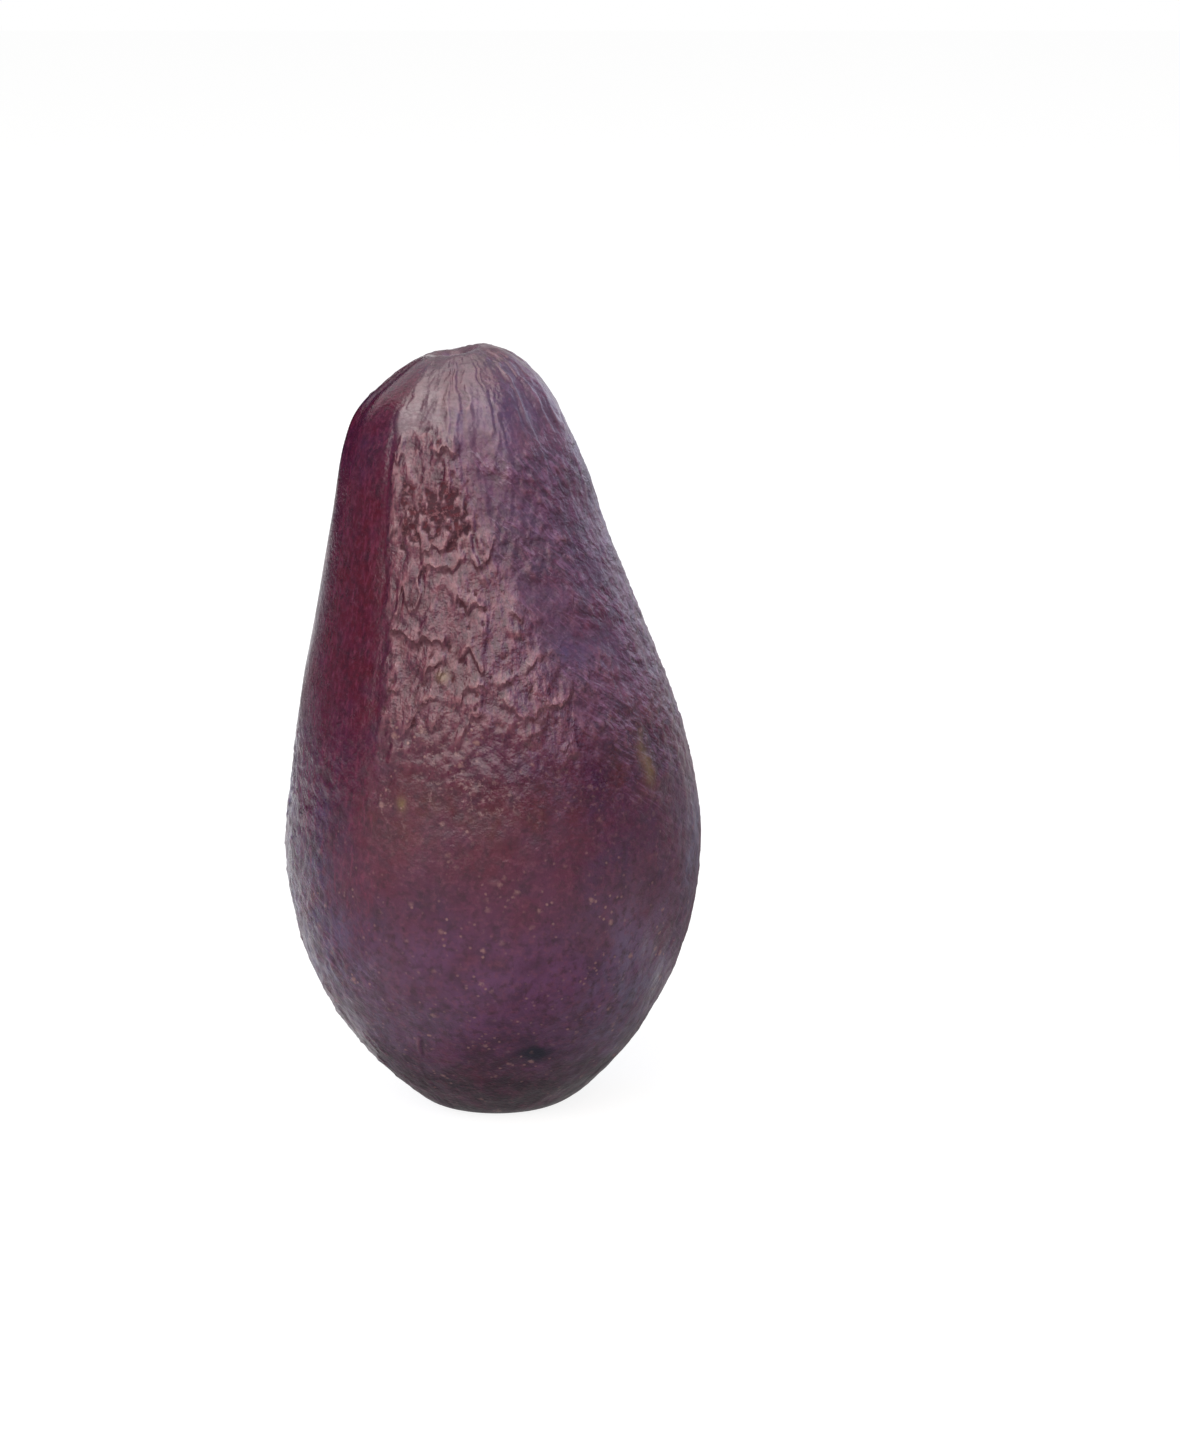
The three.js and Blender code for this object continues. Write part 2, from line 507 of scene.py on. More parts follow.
    parts = [
        swells * relief["swellDepth"],
        lumps * relief["lumpDepth"],
        flutes * relief["fluteDepth"] * fluted,
        strips,
        hold * (relief["flakeStep"] * flakes + relief["curlHeight"] * curl),
        (cover - 1) * relief["skinDepth"],
        -cracks * relief["crackDepth"],
        (1 - cover) * crumbs * relief["fleshDepth"],
        crumple * relief["crumpleDepth"],
        streaks * relief["streakDepth"] * flank * (1 - fluted) * (1 - 0.6 * scaled),
        fibres * relief["fibreDepth"] * rise(*relief["fibresFoot"], edge),
        crumbs * relief["crumbDepth"] * crumbled * rise(0.42, 0.52, up),
        pebbles * relief["pebbleDepth"] * (1 - rise(*relief["pebblesTop"], up)),
        pebbles * relief["flankPebbles"] * flank,
        sum(creaseAcross(points, crease) for crease in relief["creases"]),
    ]
    height = sum(parts)
    cavity = (height - blurred(height, relief["cavityReach"])) / relief["cavityDepth"]
    masks = {
        "ridge": np.clip(cavity, 0, 1),
        # the hollows of the relief, which the material darkens as painted shade
        "grooveShade": np.clip(-cavity, 0, 1),
        "flake": steps,
        "flakeSlope": slope,
        "flakeHold": hold,
        "cover": cover,
        "strip": np.clip(strips / 0.2, 0, 1),
        "crack": cracks,
        "scaled": scaled,
        "flank": flank,
        "dull": dull,
        "sleek": sleek,
        "crumbled": crumbled,
        "twist": twist,
    }
    return height, masks


tints = {  # sRGB colour, then spots: degrees round, share of the height, their half widths, strength
    "redFlesh": [
        "#4A1222",
        (-140, 0.68, 18, 0.22, 1.05),
        (-101, 0.62, 18, 0.15, 0.5),
        (-94, 0.37, 24, 0.06, 0.4),
        (40, 0.6, 40, 0.2, 0.6),
    ],
    "purpleShade": [
        "#42243F",
        (-52, 0.74, 26, 0.24, 0.75),
        (100, 0.7, 40, 0.3, 0.8),
        (-88, 0.2, 40, 0.12, 0.4),
        (-101, 0.885, 14, 0.02, 0.6),
        (-76, 0.95, 10, 0.035, 0.6),
    ],
    "violetShade": [
        "#38264A",
        (-63, 0.9, 9, 0.05, 0.6),
        (-89, 0.91, 4, 0.05, 0.6),
        (-58, 0.62, 8, 0.05, 0.4),
        (70, 0.85, 20, 0.08, 0.5),
        (-145, 0.28, 11, 0.2, 0.8),
    ],
    "brownGirdle": [
        "#44181A",
        (-92, 0.44, 40, 0.05, 0.6),
        (-40, 0.49, 22, 0.06, 0.55),
        (130, 0.4, 60, 0.09, 0.6),
    ],
    "mauveBelly": [
        "#562E50",
        (-88, 0.17, 80, 0.13, 0.75),
        (-38, 0.17, 26, 0.12, 0.6),
    ],
    # the wax's bluish bloom, and on the far left rim a painted sheen of the bright air it mirrors
    "bloomAndRimSheen": [
        "#62627C",
        (-178, 0.3, 17, 0.17, 0.88),
        (-178, 0.45, 13, 0.08, 0.35),
        (-142, 0.2, 26, 0.12, 0.25),
        (-40, 0.18, 20, 0.12, 0.4),
        (-14, 0.36, 12, 0.07, 0.6),
        (-8, 0.8, 12, 0.1, 0.4),
        (100, 0.2, 60, 0.16, 0.3),
    ],
    "dryGrey": [
        "#6E5A64",
        (-108, 0.94, 12, 0.04, 0.8),
        (60, 0.97, 60, 0.03, 0.4),
    ],
    # painted shade: darker all round the foot the fruit rests on
    "footShade": [
        "#240C20",
        (-90, 0, 360, 0.12, 1),
    ],
    "oliveSpots": [
        "#6A5438",
        (-37, 0.5, 2.5, 0.03, 1),
        (-114, 0.455, 1.5, 0.01, 0.8),
        (-101, 0.615, 2, 0.008, 0.6),
    ],
    "navyBlotch": [
        "#100A20",
        (-73, 0.123, 7, 0.017, 1.5),
    ],
}


def tintMasks(place, degrees, up):
    # the sum of each tint's spots, each a bell in both directions, made uneven by noise
    masks = {}
    for number, (name, (_, *spots)) in enumerate(tints.items()):
        cover = 0
        for at, high, wide, tall, strength in spots:
            cover = cover + strength * bell(turnBetween(degrees, at), wide) * bell(up - high, tall)
        uneven = layeredNoise(place, 4.5, 70 + 5 * number, 4, 0.7)
        masks[name] = np.clip(cover * (1 + 0.9 * uneven), 0, 1)
    return masks


def dressedGrid(node):
    # the smooth fruit fitted to the node's box, each point moved out along its normal by the relief;
    # gives the points, their places on the smooth skin, the fields for the material and the map's grid
    low, high = (np.array(corner) * 1000 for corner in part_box(node))
    rowUp, rowOut, rowAlong = profileRows()
    across = (rowUp[:, None], rowOut[:, None], rowAlong[:, None], columnTurns()[None, :])
    up, radius, along, turn = np.broadcast_arrays(*across)
    smooth = smoothFruit(up, radius, turn)
    smoothLow, smoothHigh = smooth.min(axis=(0, 1)), smooth.max(axis=(0, 1))
    smooth = low + (smooth - smoothLow) * (high - low) / (smoothHigh - smoothLow)
    degrees = np.degrees(turn)
    height, fields = skinRelief(smooth, degrees, up, along, radius)
    place = np.stack([smooth[..., 0], smooth[..., 1], along], axis=-1)
    fields.update(tintMasks(place, degrees, up))
    fields["lower"] = 1 - rise(0.3, 0.48, up)
    fields["matte"] = (1 - rise(0.4, 0.52, up)) * rise(-155, -125, degrees) * (1 - rise(60, 120, degrees))
    settled = rise(0, 0.03, up) * rise(0.4, 3, radius + 10 * (1 - up))  # flat where it rests
    height = (height - relief["sunk"]) * settled
    points = smooth + outwardNormals(smooth) * height[..., None]
    return np.clip(points, low, high), place, fields, (turn[0], rowAlong / rowAlong[-1])


def toVertices(grid):
    # the first and the last row are single vertices, the others whole rings
    inner = grid[1:-1].reshape(-1, *grid.shape[2:])
    return np.concatenate([grid[0].mean(axis=0)[None], inner, grid[-1].mean(axis=0)[None]])


def closedFaces():
    # a fan of triangles round the foot's vertex, rings of quads, and a fan round the stem end's vertex
    rows, columns = form["rows"], form["columns"]
    ring = np.arange(columns)
    nextRing = np.roll(ring, -1)
    starts = 1 + np.arange(rows - 3)[:, None] * columns
    above = starts + columns
    quads = np.stack([starts + ring, starts + nextRing, above + nextRing, above + ring], axis=-1)
    lastRing = 1 + (rows - 3) * columns
    foot = np.stack([0 * ring, 1 + nextRing, 1 + ring], axis=-1)
    crown = np.stack([lastRing + ring, lastRing + nextRing, 0 * ring + lastRing + columns], axis=-1)
    return [*foot.tolist(), *quads.reshape(-1, 4).tolist(), *crown.tolist()]


def mapCorners(turn, share):
    # one turn of the fruit is the map's width, the share of the way along the skin its height
    rows, columns = form["rows"], form["columns"]
    edges = np.append(turn + math.pi, 2 * math.pi) / (2 * math.pi)
    left, right = edges[:-1], edges[1:]
    middle, zero = (left + right) / 2, np.zeros(columns)
    foot = np.stack([middle, zero, right, zero + share[1], left, zero + share[1]], axis=-1)
    below, over = np.repeat(share[1:-2], columns), np.repeat(share[2:-1], columns)
    lefts, rights = np.tile(left, rows - 3), np.tile(right, rows - 3)
    quads = np.stack([lefts, below, rights, below, rights, over, lefts, over], axis=-1)
    crown = np.stack([left, zero + share[-2], right, zero + share[-2], middle, zero + 1], axis=-1)
    return np.concatenate([foot.ravel(), quads.ravel(), crown.ravel()])


def makeSkin():
    # one closed mesh with the fields as attributes, which rides the root and stands for the solid
    node = "pear_fruit"
    points, place, fields, (turn, share) = dressedGrid(node)
    faces = closedFaces()
    mesh = bpy.data.meshes.new("pear_skin")
    mesh.from_pydata((toVertices(points) / 1000).tolist(), [], faces)
    mesh.polygons.foreach_set("use_smooth", np.ones(len(faces), bool))
    for name, grid in fields.items():
        values = toVertices(grid).astype(np.float32)
        mesh.attributes.new(name, "FLOAT", "POINT").data.foreach_set("value", values)
    values = toVertices(place).astype(np.float32).ravel()
    mesh.attributes.new("skinPlace", "FLOAT_VECTOR", "POINT").data.foreach_set("vector", values)
    corners = mapCorners(turn, share).astype(np.float32)
    mesh.uv_layers.new(name="OFBake").uv.foreach_set("vector", corners)
    mesh.update()
    skin = bpy.data.objects.new("pear_skin", mesh)
    bpy.context.collection.objects.link(skin)
    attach(skin, "root")
    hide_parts(node)
    return skin


skin = makeSkin()
print("skin:", len(skin.data.polygons), "faces")


def toLinear(hexColour):
    # sRGB hex to linear light, with alpha 1
    parts = [int(hexColour[i : i + 2], 16) / 255 for i in (1, 3, 5)]
    return (*[p / 12.92 if p <= 0.04045 else ((p + 0.055) / 1.055) ** 2.4 for p in parts], 1)


def addNode(tree, kind, settings=None, links=None):
    # one shader node: its settings by property or socket, then what feeds its sockets
    node = tree.nodes.new(kind)
    for name, value in (settings or {}).items():
        if isinstance(name, str) and hasattr(node, name):
            setattr(node, name, value)
        else:
            node.inputs[name].default_value = value
    for name, source in (links or {}).items():
        if isinstance(source, (int, float)):
            node.inputs[name].default_value = source
        else:
            tree.links.new(source, node.inputs[name])
    return node


finish = {
    "wine": "#4E162C",  # the skin's own colour
    "mottle": "#361E3C",  # darker, bluer clouds in it
    "mottleSize": 7,  # millimetres, as all sizes here
    "dusk": "#260E20",  # smaller dark clouds
    "duskSize": 2.4,
    "fleck": "#663446",  # paler flecks of the grain
    "fleckSize": 0.7,
    "speck": "#2E1020",  # darker ones
    "speckSize": 1,
    # painted shade in the hollows of the relief
    "grooveShade": "#200A12",
    "ridge": "#805058",  # dry pale crests of the plates and flutes
    "dryPlate": "#5E2A3E",
    # the dark of the cracks, and the painted shadow under the flake edges
    "crackAndEdgeShade": "#3A101C",
    "gap": "#46182C",  # longish darker and paler parts of the dry skin
    # paler parts of the dry skin, also the painted highlight on the flake lips
    "crestAndLitLip": "#8A5C62",
    "gapSize": 1.2,
    "gapStretch": 2.8,
    "gapDepth": 0.2,
    "broadSize": 3,
    "tornFlesh": "#34141E",  # bare flesh, its redder parts and the crumbs left on it
    "redFlesh": "#5A0A1A",
    "redSize": 0.8,
    "leftSize": 0.5,
    "crumb": "#806062",  # crumbs of dry skin round the girdle
    "crumbSize": 0.55,
    "crumbArea": 5,
    "sleekStreak": "#6A2A42",  # faint streaks down the smooth side
    "sleekSize": 0.5,
    "sleekStretch": 4,
    "stroke": "#2A0E20",  # dark and pale strokes of the leathery flanks
    "paleStroke": "#744E6A",
    "strokeArea": 3.2,
    "scratch": "#8C7488",  # short pale scratches between them
    "scratchSize": 0.9,
    "wineStain": "#4C1630",
    "stainSize": 2.7,
    "lenticel": "#866260",
    "lenticels": [(1, 0.19), (2.2, 0.38)],  # how far apart and how big
    "lenticelArea": 3.5,
    "lenticelEdge": 0.4,  # the noise that makes them uneven
    "ragSize": 0.7,  # how fine the edges of the flakes are torn
    "ragStretch": 3.4,
    "ragDepth": 1.6,
    "edgeArea": 1.7,  # where the edges show more and where less
    "edgeShadow": 1.1,  # how wide the painted shade under an edge, its drop and the painted highlight on its pale lip are
    "edgeFall": 0.7,
    "edgeLitLip": 0.4,
    "edgeDepth": 0.14,
    "fibreSize": 0.42,  # dry fibres along the plates
    "fibreStretch": 5,
    "fibreDepth": 0.09,
    "roughness": 0.16,
    "flankRough": 0.2,  # what the leathery flanks, the lower front, bare flesh and the painted shade under the flake edges add
    "matteRough": 0.14,
    "fleshRough": 0.85,
    "edgeShadeRough": 0.5,
    "index": 1.38,
    "grainSize": 0.5,
    "grainDepth": 0.07,
    "dryGrainSize": 0.6,
    "dryGrainDepth": 0.1,
    "strokeSize": 1.1,
    "strokeStretch": 2,
    "strokeBend": 0.9,
    "strokeDepth": 0.15,
    "blisterSize": 1.5,
    "blisterDepth": 0.22,
}


def waxySkin():
    # ripe safou skin: wine-coloured flesh under a thin natural wax; the wax gives the soft gloss, and
    # the dry plates, fibres, grain and lenticels break it up
    material = bpy.data.materials.new("waxySafouSkin")
    material.use_nodes = True
    tree = material.node_tree
    tree.nodes.clear()

    def attribute(name, socket="Fac"):
        return addNode(tree, "ShaderNodeAttribute", {"attribute_name": name}).outputs[socket]

    def noiseOf(size, detail=2, stretch=1, source=None, bend=0):
        # noise with features of that size in millimetres, drawn out along the fruit by stretch
        where = source or place
        if stretch != 1:
            scale = {"Scale": (1, 1, 1 / stretch)}
            where = addNode(tree, "ShaderNodeMapping", scale, {"Vector": where}).outputs[0]
        settings = {"Scale": 1 / size, "Detail": detail, "Roughness": 0.6, "Distortion": bend}
        return addNode(tree, "ShaderNodeTexNoise", settings, {"Vector": where}).outputs[0]

    def shareOf(value, low, high, top=1):
        # from 0 at low to top at high
        settings = {"From Min": low, "From Max": high, "To Max": top}
        return addNode(tree, "ShaderNodeMapRange", settings, {"Value": value}).outputs[0]

    def combine(a, b, operation="MULTIPLY"):
        return addNode(tree, "ShaderNodeMath", {"operation": operation}, {0: a, 1: b}).outputs[0]

    place = attribute("skinPlace", "Vector")
    scaled, flank, sleek, lower = (attribute(name) for name in ("scaled", "flank", "sleek", "lower"))
    grain = noiseOf(finish["grainSize"])
    cloud = noiseOf(finish["duskSize"], 3)

    # strokes: stretched noise that runs askew down the flanks
    settings, links = {"rotation_type": "Z_AXIS"}, {"Vector": place, "Angle": attribute("twist")}
    turned = addNode(tree, "ShaderNodeVectorRotate", settings, links).outputs[0]
    stroke = noiseOf(finish["strokeSize"], 3, finish["strokeStretch"], turned, finish["strokeBend"])

    # flakes: below each lower edge a painted shadow, above it a pale lip with a painted highlight, both torn
    # by fine noise. The edge lies where the flake number passes a whole one, and its slope turns that into
    # millimetres
    slope, hold = attribute("flakeSlope"), attribute("flakeHold")
    ragged = noiseOf(finish["ragSize"], 2, finish["ragStretch"])
    rag = combine(combine(ragged, 0.5, "SUBTRACT"), finish["ragDepth"])
    phase = combine(combine(attribute("flake"), combine(rag, slope), "ADD"), 1, "FLOORED_MODULO")
    aboveEdge = combine(phase, slope, "DIVIDE")
    underEdge = combine(combine(1, phase, "SUBTRACT"), slope, "DIVIDE")
    patchy = noiseOf(finish["edgeArea"])
    litLip = combine(combine(shareOf(aboveEdge, finish["edgeLitLip"], 0.05), hold), shareOf(patchy, 0.4, 0.6))
    shadow = combine(shareOf(underEdge, finish["edgeShadow"], 0.1), shareOf(patchy, 0.66, 0.46))
    shadow = combine(shadow, hold)
    sawtooth = combine(combine(1, phase, "SUBTRACT"), shareOf(underEdge, finish["edgeFall"], 0), "MAXIMUM")

    # flesh shows where the dry skin is gone
    cover = combine(attribute("cover"), shareOf(noiseOf(finish["ragSize"], 3), 0, 1, 0.6), "ADD")
    bare = shareOf(cover, 1.12, 0.4)
    dry = combine(scaled, combine(1, bare, "SUBTRACT"))
    plates = noiseOf(finish["gapSize"], 3, finish["gapStretch"], None, 0.4)
    broad = noiseOf(finish["broadSize"], 3, 1.6, None, 0.4)
    fibre = noiseOf(finish["fibreSize"], 2, finish["fibreStretch"])
    fibrous = combine(shareOf(sleek, 0.5, 0), shareOf(lower, 0.3, 0))
    fibrous = combine(fibrous, shareOf(scaled, 0, 1, 0.8))
    fibrous = combine(fibrous, combine(1, bare, "SUBTRACT"))
    scratch = noiseOf(finish["scratchSize"], 3, 1.6, turned, 0.6)
    faint = noiseOf(finish["sleekSize"], 2, finish["sleekStretch"])

    # lenticels and crumbs: pale dots of uneven shape, in some areas only
    dots = None
    crumbled = combine(attribute("crumbled"), shareOf(noiseOf(finish["crumbArea"]), 0.44, 0.58))
    speckled = combine(combine(lower, 0.75), attribute("crumbled"), "MAXIMUM")
    speckled = combine(speckled, shareOf(noiseOf(finish["lenticelArea"]), 0.45, 0.6))
    wobble = shareOf(noiseOf(finish["lenticelEdge"]), 0, 1, 0.3)
    for apart, radius in finish["lenticels"]:
        cells = addNode(tree, "ShaderNodeTexVoronoi", {"Scale": 1 / apart}, {"Vector": place})
        away = combine(combine(cells.outputs["Distance"], wobble, "ADD"), 0.15, "SUBTRACT")
        found = shareOf(away, radius / apart * 1.2, radius / apart * 0.4)
        dots = found if dots is None else combine(dots, found, "MAXIMUM")
    dots = combine(dots, speckled)

    # each layer is a share from 0 to 1 and the colour laid over what is below it by that share: first clouds
    # and tints, then plates, flecks, fibres and strokes, then painted shade in the hollows, pale crests, the
    # painted highlight on the flake lips, bare flesh, crumbs, cracks and the painted shadow under the flake
    # edges
    layers = [(shareOf(noiseOf(finish["mottleSize"], 3), 0.42, 0.66, 0.75), finish["mottle"])]
    late = ("oliveSpots", "navyBlotch")
    layers += [(attribute(name), tints[name][0]) for name in tints if name not in late]
    layers += [
        (shareOf(cloud, 0.5, 0.7, 0.5), finish["dusk"]),
        (combine(dry, 0.55), finish["dryPlate"]),
        (combine(shareOf(broad, 0.5, 0.36, 0.6), scaled), finish["gap"]),
        (combine(shareOf(broad, 0.53, 0.66, 0.5), dry), finish["crestAndLitLip"]),
        (combine(shareOf(plates, 0.5, 0.38, 0.65), scaled), finish["gap"]),
        (combine(shareOf(plates, 0.52, 0.68, 0.45), dry), finish["crestAndLitLip"]),
        (shareOf(noiseOf(finish["fleckSize"], 3), 0.5, 0.7, 0.45), finish["fleck"]),
        (shareOf(noiseOf(finish["speckSize"], 3), 0.5, 0.7, 0.7), finish["speck"]),
        (combine(attribute("strip"), 0.4), tints["dryGrey"][0]),
        (combine(shareOf(faint, 0.52, 0.7, 0.5), sleek), finish["sleekStreak"]),
        (combine(shareOf(fibre, 0.52, 0.4, 0.6), fibrous), finish["speck"]),
        (combine(shareOf(fibre, 0.5, 0.62, 0.4), fibrous), finish["ridge"]),
        (combine(shareOf(noiseOf(finish["strokeArea"]), 0.5, 0.62, 0.7), flank), finish["stroke"]),
        (combine(shareOf(noiseOf(finish["stainSize"]), 0.54, 0.64, 0.5), flank), finish["wineStain"]),
        (combine(shareOf(stroke, 0.5, 0.38, 0.7), flank), finish["stroke"]),
        (combine(shareOf(stroke, 0.54, 0.66, 0.6), flank), finish["paleStroke"]),
        (combine(shareOf(scratch, 0.6, 0.7, 0.45), flank), finish["scratch"]),
        # painted shade in the hollows, then paler crests
        (shareOf(attribute("grooveShade"), 0.15, 1, 0.3), finish["grooveShade"]),
        (shareOf(attribute("ridge"), 0.25, 1, 0.3), finish["ridge"]),
        # painted highlight on the lip above each flake edge
        (combine(litLip, 0.7), finish["crestAndLitLip"]),
        (combine(bare, 0.85), finish["tornFlesh"]),
        (combine(shareOf(noiseOf(finish["redSize"], 3), 0.5, 0.62, 0.4), bare), finish["redFlesh"]),
        (combine(shareOf(noiseOf(finish["leftSize"], 3), 0.54, 0.64, 0.6), bare), finish["ridge"]),
        (combine(shareOf(noiseOf(finish["crumbSize"]), 0.57, 0.67, 0.65), crumbled), finish["crumb"]),
        (shareOf(attribute("crack"), 0, 1, 0.45), finish["crackAndEdgeShade"]),
        # painted shadow under each flake edge
        (combine(shadow, 0.95), finish["crackAndEdgeShade"]),
    ]
    layers += [(attribute(name), tints[name][0]) for name in late]
    layers += [(dots, finish["lenticel"])]
    colour = None
    for share, hexColour in layers:
        settings = {"data_type": "RGBA", 6: toLinear(finish["wine"]), 7: toLinear(hexColour)}
        links = {0: share} if colour is None else {0: share, 6: colour}
        colour = addNode(tree, "ShaderNodeMix", settings, links).outputs[2]

    # the wax is glossy, and what is leathery, bare or in the painted shade under a flake edge is dull
    rough = combine(shareOf(cloud, 0.3, 0.7, 0.12), finish["roughness"], "ADD")
    dullParts = [
        (attribute("dull"), "flankRough"),
        (attribute("matte"), "matteRough"),
        (bare, "fleshRough"),
        (shadow, "edgeShadeRough"),
    ]
    for where, more in dullParts:
        rough = combine(rough, combine(where, finish[more]), "ADD")

    # each bump is a height from 0 to 1 and its depth in millimetres, added to the one before
    normal = None
    bumps = [
        (grain, finish["grainDepth"]),
        (combine(noiseOf(finish["dryGrainSize"], 3), scaled), finish["dryGrainDepth"]),
        (combine(fibre, fibrous), finish["fibreDepth"]),
        (combine(stroke, flank), finish["strokeDepth"]),
        (combine(noiseOf(finish["blisterSize"], 3), flank), finish["blisterDepth"]),
        (combine(plates, scaled), finish["gapDepth"]),
        (combine(sawtooth, hold), finish["edgeDepth"]),
    ]
    for heightSource, depth in bumps:
        links = {"Height": heightSource} if normal is None else {"Height": heightSource, "Normal": normal}
        normal = addNode(tree, "ShaderNodeBump", {"Strength": 1, "Distance": depth / 1000}, links).outputs[0]

    links = {"Base Color": colour, "Roughness": rough, "Normal": normal}
    shader = addNode(tree, "ShaderNodeBsdfPrincipled", {"IOR": finish["index"]}, links)
    addNode(tree, "ShaderNodeOutputMaterial", {}, {0: shader.outputs[0]})
    return material


skin.data.materials.append(waxySkin())
print("finish: waxy skin")

studio = {  # metres and degrees; azimuth 0 is in front, 90 to the right
    "middle": (0, 0, 0.045),  # lamps and cards face this point
    "aim": (0.01148, 0, 0.04625),
    "distance": 0.45,
    "elevation": 12,
    "lens": 95.8,
    "diffuseAir": 0.4,  # how brightly the air lights the fruit and the floor
    "floorGlow": 0.86,
    "floorShare": 0.3,
    "lamps": [  # name, azimuth, elevation, distance, size, radiance, colour, what it lights
        ("windowGloss", -22, 46.5, 1.2, (2.2, 1.5), 4.2, "#fff8f2", "gloss"),
        ("windowFill", -22, 43, 1.2, (2.2, 1.66), 1.9, "#fff8f2", "colour"),
        ("windowEdge", 33, 46, 1.2, (0.6, 1.4), 1.6, "#e8d8ff", "gloss"),
        ("topGloss", -60, 84, 1.1, (1.2, 1.1), 4.2, "#fff8f2", "gloss"),
        ("skyGloss", 88, 40, 1.2, (2.8, 1.3), 1.35, "#b2a8f4", "gloss"),
        ("backGloss", 142, 16, 1.2, (0.7, 0.7), 1.8, "#e0e4ff", "gloss"),
        ("rimFill", -120, 10, 1.2, (0.6, 0.8), 3.8, "#8cb8ff", "colour"),
    ],
    "cards": [  # name, azimuth, elevation, distance, size, shade of grey in the gloss
        ("leftCard", -98, 12, 0.4, (0.39, 0.6), 0.12),
        ("backLeftCard", -148, 9.2, 0.58, (0.5, 0.27), 0),
        ("rightCard", 80, 2, 0.4, (0.55, 0.14), 0),
        ("frontCard", 8, -1, 0.4, (0.5, 0.14), 0),
        ("backRightCard", 135, -1, 0.58, (0.34, 0.11), 0.15),
    ],
    "mats": [  # name, place from the middle, size, shade
        ("backLeftMat", (-0.26, 0.27, -0.0447), (0.26, 0.26), 0.2),
        ("leftMat", (-0.12, -0.012, -0.0446), (0.14, 0.115), 0.8),
        ("footMat", (0.02, -0.01, -0.0445), (0.055, 0.07), 0.45),
        ("rightMat", (0.1, 0.075, -0.0442), (0.15, 0.15), 0.35),
    ],
}


def towards(azimuth, elevation):
    # unit vector from the fruit: azimuth from -Y towards +X, elevation up from the floor
    turn, tilt = math.radians(azimuth), math.radians(elevation)
    return Vector((math.sin(turn) * math.cos(tilt), -math.cos(turn) * math.cos(tilt), math.sin(tilt)))


def makeCamera():
    # straight in front and a little above, looking at the aim
    back = towards(0, studio["elevation"])
    camera = bpy.data.objects.new("camera", bpy.data.cameras.new("camera"))
    camera.data.lens = studio["lens"]
    camera.data.sensor_width = 36
    camera.location = Vector(studio["aim"]) + back * studio["distance"]
    camera.rotation_euler = (-back).to_track_quat("-Z", "Y").to_euler()
    bpy.context.collection.objects.link(camera)
    bpy.context.scene.camera = camera


def softLight(name, azimuth, elevation, distance, size, radiance, colour, lights):
    # a rectangular softbox that faces the fruit; its power gives the wanted brightness to the eye,
    # and lights says whether it counts in the gloss, in the colour or in both
    away = towards(azimuth, elevation)
    light = bpy.data.lights.new(name, "AREA")
    light.shape = "RECTANGLE"
    light.size, light.size_y = size
    light.energy = radiance * math.pi * size[0] * size[1]
    light.color = toLinear(colour)[:3]
    lamp = bpy.data.objects.new(name, light)
    lamp.location = Vector(studio["middle"]) + away * distance
    lamp.rotation_euler = (-away).to_track_quat("-Z", "Y").to_euler()
    lamp.visible_glossy = lights != "colour"
    lamp.visible_diffuse = lights != "gloss"
    lamp.visible_camera = False
    bpy.context.collection.objects.link(lamp)


def dimCard(name, place, lies, size, shade):
    # a card that the camera doesn't see, at that place from the middle: it stands facing the fruit or
    # lies flat, and in the gloss it shows that shade of grey instead of what is behind it
    facing = Vector((0, 0, 1)) if lies else place.normalized()
    side = facing.orthogonal() if lies else facing.cross(Vector((0, 0, 1)))
    side = side.normalized() * size[0] / 2
    top = side.cross(facing).normalized() * size[1] / 2
    middle = Vector(studio["middle"]) + place
    corners = [middle + side * u + top * v for u, v in ((-1, -1), (1, -1), (1, 1), (-1, 1))]
    mesh = bpy.data.meshes.new(name)
    mesh.from_pydata(corners, [], [(0, 1, 2, 3)])
    cloth = bpy.data.materials.new("dimCloth")
    cloth.use_nodes = True
    cloth.node_tree.nodes.clear()
    settings = {"Color": (1, 1, 1, 1), "Strength": shade}
    shader = addNode(cloth.node_tree, "ShaderNodeEmission", settings)
    addNode(cloth.node_tree, "ShaderNodeOutputMaterial", {}, {0: shader.outputs[0]})
    mesh.materials.append(cloth)
    sheet = bpy.data.objects.new(name, mesh)
    sheet.visible_camera = False
    sheet.visible_diffuse = False
    sheet.visible_shadow = False
    bpy.context.collection.objects.link(sheet)


def seenShare(tree):
    # 1 for what the camera, a mirror or a glass sees, 0 for the light that falls on things
    path = addNode(tree, "ShaderNodeLightPath")
    total = path.outputs["Is Camera Ray"]
    for name in ("Is Glossy Ray", "Is Transmission Ray"):
        settings = {"operation": "ADD", "use_clamp": True}
        total = addNode(tree, "ShaderNodeMath", settings, {0: total, 1: path.outputs[name]}).outputs[0]
    return total


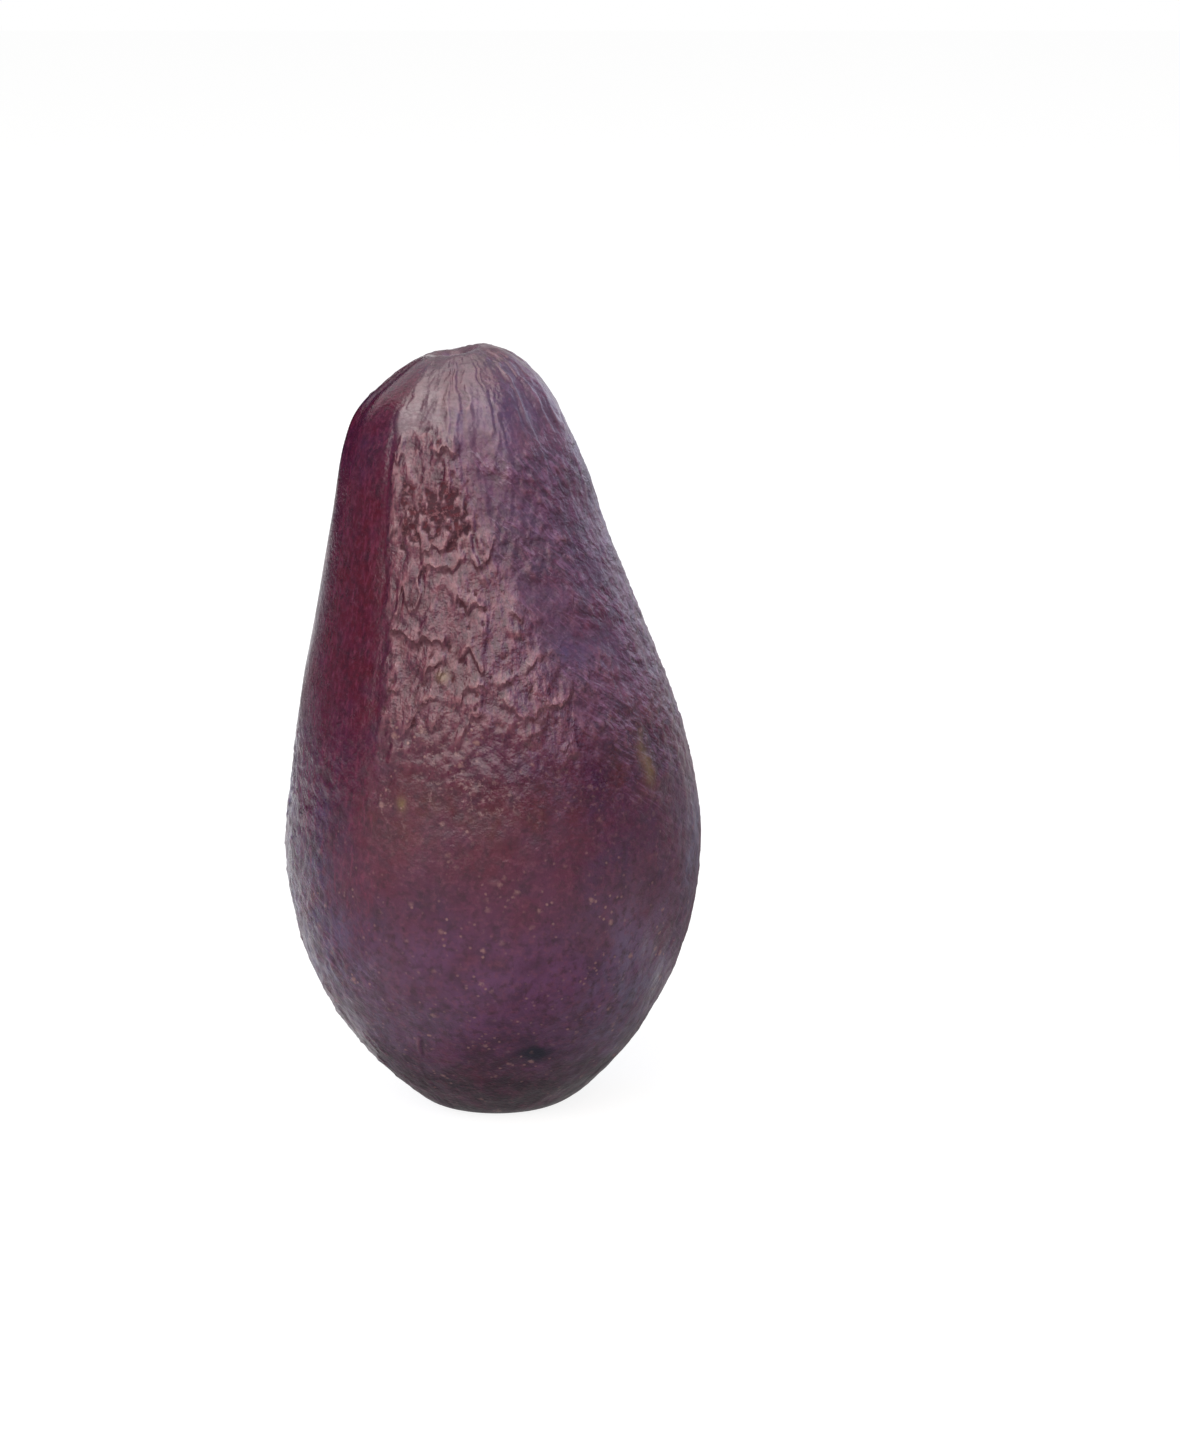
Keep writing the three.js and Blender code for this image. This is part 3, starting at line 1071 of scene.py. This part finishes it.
def makeStage():
    # a white floor and white air: bright where they are seen, dimmer in the light they throw, and the
    # floor keeps the fruit's shadow
    floorMesh = bpy.data.meshes.new("floor")
    side = 4
    corners = [(-side, -side, 0), (side, -side, 0), (side, side, 0), (-side, side, 0)]
    floorMesh.from_pydata(corners, [], [(0, 1, 2, 3)])
    floor = bpy.data.objects.new("floor", floorMesh)
    bpy.context.collection.objects.link(floor)
    paper = bpy.data.materials.new("whitePaper")
    paper.use_nodes = True
    tree = paper.node_tree
    tree.nodes.clear()
    plain = addNode(tree, "ShaderNodeBsdfDiffuse", {"Color": toLinear("#e8e8e8")})
    share = studio["floorShare"]
    softer = addNode(tree, "ShaderNodeBsdfDiffuse", {"Color": (share, share, share, 1)})
    glow = addNode(tree, "ShaderNodeEmission", {"Color": (1, 1, 1, 1), "Strength": studio["floorGlow"]})
    bright = addNode(tree, "ShaderNodeAddShader", {}, {0: glow.outputs[0], 1: softer.outputs[0]})
    links = {0: seenShare(tree), 1: plain.outputs[0], 2: bright.outputs[0]}
    mixed = addNode(tree, "ShaderNodeMixShader", {}, links)
    addNode(tree, "ShaderNodeOutputMaterial", {}, {0: mixed.outputs[0]})
    floorMesh.materials.append(paper)

    world = bpy.data.worlds.new("studioAir")
    bpy.context.scene.world = world
    world.use_nodes = True
    tree = world.node_tree
    tree.nodes.clear()
    lit = addNode(tree, "ShaderNodeBackground", {"Color": (1, 1, 1, 1), "Strength": studio["diffuseAir"]})
    shown = addNode(tree, "ShaderNodeBackground", {"Color": (1, 1, 1, 1), "Strength": 1})
    links = {0: seenShare(tree), 1: lit.outputs[0], 2: shown.outputs[0]}
    mixed = addNode(tree, "ShaderNodeMixShader", {}, links)
    addNode(tree, "ShaderNodeOutputWorld", {}, {0: mixed.outputs[0]})


makeCamera()
makeStage()
for lamp in studio["lamps"]:
    softLight(*lamp)
for name, azimuth, elevation, distance, size, shade in studio["cards"]:
    dimCard(name, towards(azimuth, elevation) * distance, False, size, shade)
for name, place, size, shade in studio["mats"]:
    dimCard(name, Vector(place), True, size, shade)
bpy.context.scene.view_settings.view_transform = "Standard"
print("studio ready")
